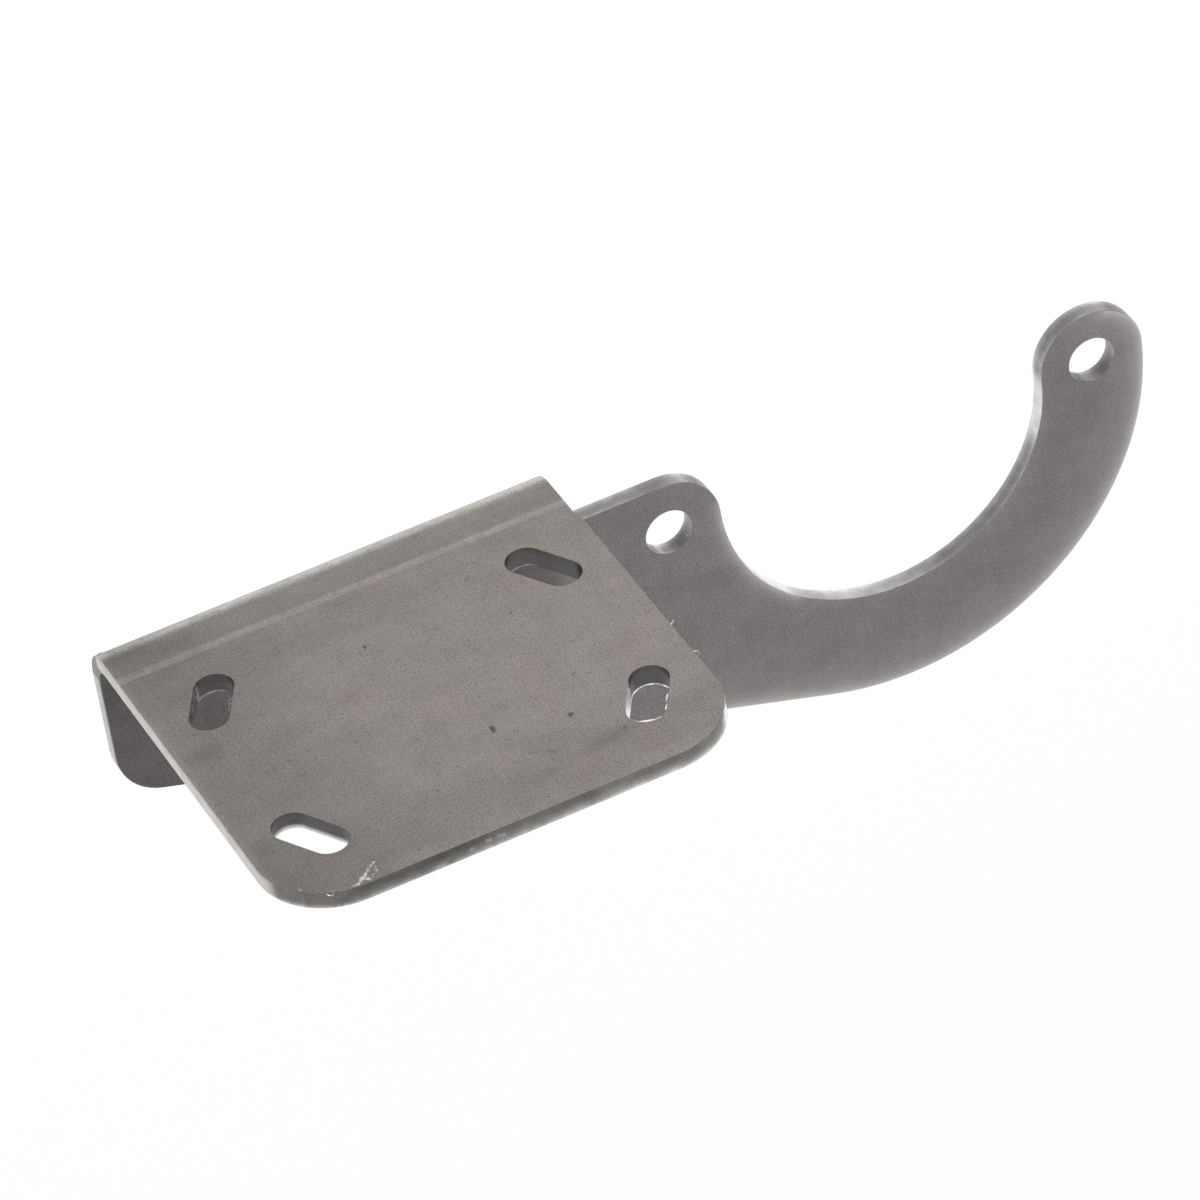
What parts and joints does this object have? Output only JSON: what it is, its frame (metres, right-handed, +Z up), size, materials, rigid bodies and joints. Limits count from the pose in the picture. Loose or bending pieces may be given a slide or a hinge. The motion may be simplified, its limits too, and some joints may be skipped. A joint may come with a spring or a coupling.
{
  "type": "compressor mounting bracket",
  "caption": "Folded sheet-steel bracket: a slotted seat plate whose flange runs on sideways as a flat hooked arm with a bolt hole at each end of the hook.",
  "frame": {"origin": "centre of the slot pattern on the seat plate's top face", "axes": "+X along the fold towards the hooked arm, +Y towards the flange, +Z up out of the seat plate"},
  "size_m": [0.2472, 0.105, 0.0939],
  "materials": {
    "raw_steel": "raw mill finish, matte, with bright laser-cut edges"
  },
  "bodies": {
    "root": {"bracket": "raw_steel"}
  },
  "joints": []
}
